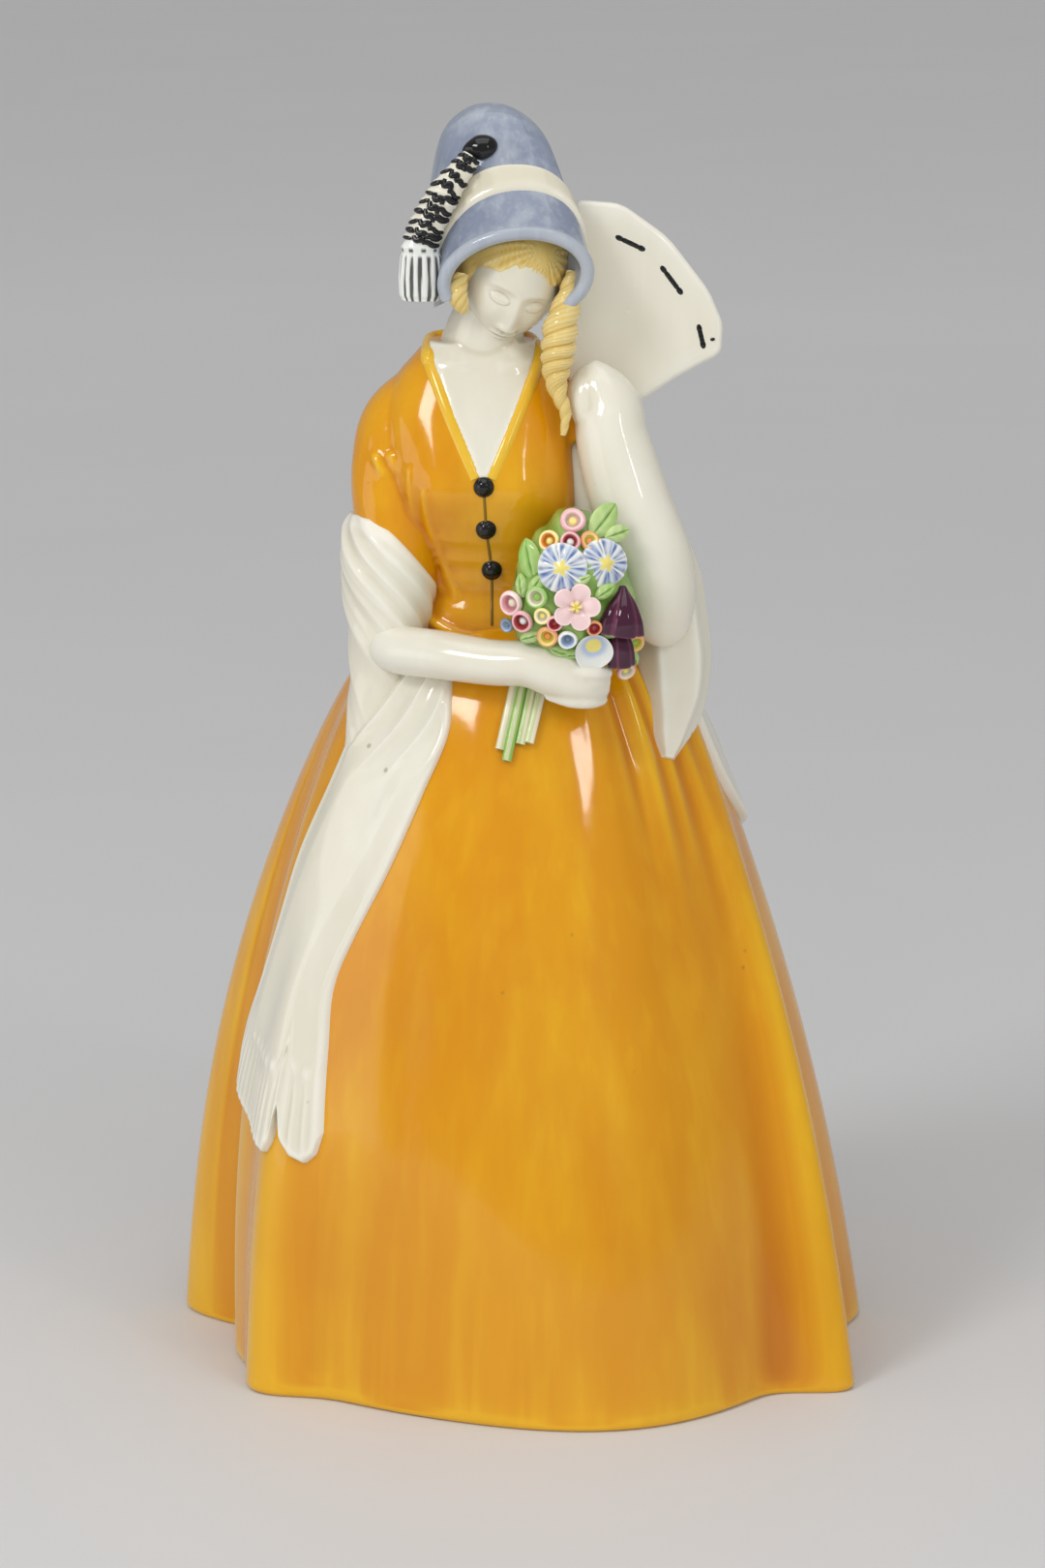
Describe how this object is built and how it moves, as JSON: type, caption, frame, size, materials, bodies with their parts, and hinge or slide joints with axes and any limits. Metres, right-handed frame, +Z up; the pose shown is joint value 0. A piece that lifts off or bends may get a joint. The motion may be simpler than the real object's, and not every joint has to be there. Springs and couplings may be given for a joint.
{
  "type": "ceramic figurine",
  "caption": "Glazed earthenware figurine of a lady in a bell-skirted dress with bonnet, shawl, raised fan and flower posy; hollow cast ornament that stands on its skirt's rim",
  "frame": {"origin": "on the floor, at the middle of the hem's outline", "axes": "+Z up, the figure faces -Y, its raised left arm and fan are on +X"},
  "size_m": [0.1381, 0.1271, 0.249],
  "materials": {
    "black": "glossy black glaze",
    "brick": "glossy brick red glaze",
    "chalk": "glossy bluish white glaze",
    "cornflower": "glossy cornflower blue glaze",
    "cream": "glossy ivory glaze",
    "lavender": "glossy lavender blue glaze",
    "leaf": "glossy leaf green glaze",
    "lemon": "glossy pale yellow glaze",
    "ochre": "glossy ochre yellow glaze",
    "plum": "glossy dark plum glaze",
    "rose": "glossy pink glaze",
    "straw": "glossy straw yellow glaze",
    "tangerine": "glossy orange glaze"
  },
  "bodies": {
    "root": {"skirt": "ochre", "bodice": "ochre", "head": "cream", "right_arm": "cream", "left_arm": "cream", "fan": "cream", "shawl_loop": "cream", "shawl_tail": "cream", "shawl_end": "cream", "shawl_back": "cream", "bonnet_ribbon": "cream", "bonnet_braid": "cream", "bonnet": "lavender", "hair": "straw", "ringlet": "straw", "temple_curl": "straw", "bonnet_rosette": "black", "bonnet_tassel": "black", "button_top": "black", "button_middle": "black", "button_bottom": "black", "posy_wad": "leaf", "leaf_left": "leaf", "leaf_right": "leaf", "stem_1": "leaf", "stem_2": "leaf", "stem_3": "leaf", "stem_4": "leaf", "blue_daisy_left": "cornflower", "blue_daisy_right": "cornflower", "pink_blossom": "rose", "pansy": "chalk", "purple_bell_upper": "plum", "purple_bell_lower": "plum", "pink_ring_top": "rose", "red_ring_top": "brick", "yellow_ring_top": "lemon", "orange_ring_top": "tangerine", "pink_ring_left": "rose", "red_ring_left": "brick", "green_ring": "leaf", "yellow_ring_left": "lemon", "orange_ring_left": "tangerine", "white_ring": "chalk", "red_ring_middle": "brick", "orange_ring_right": "tangerine"}
  },
  "joints": []
}
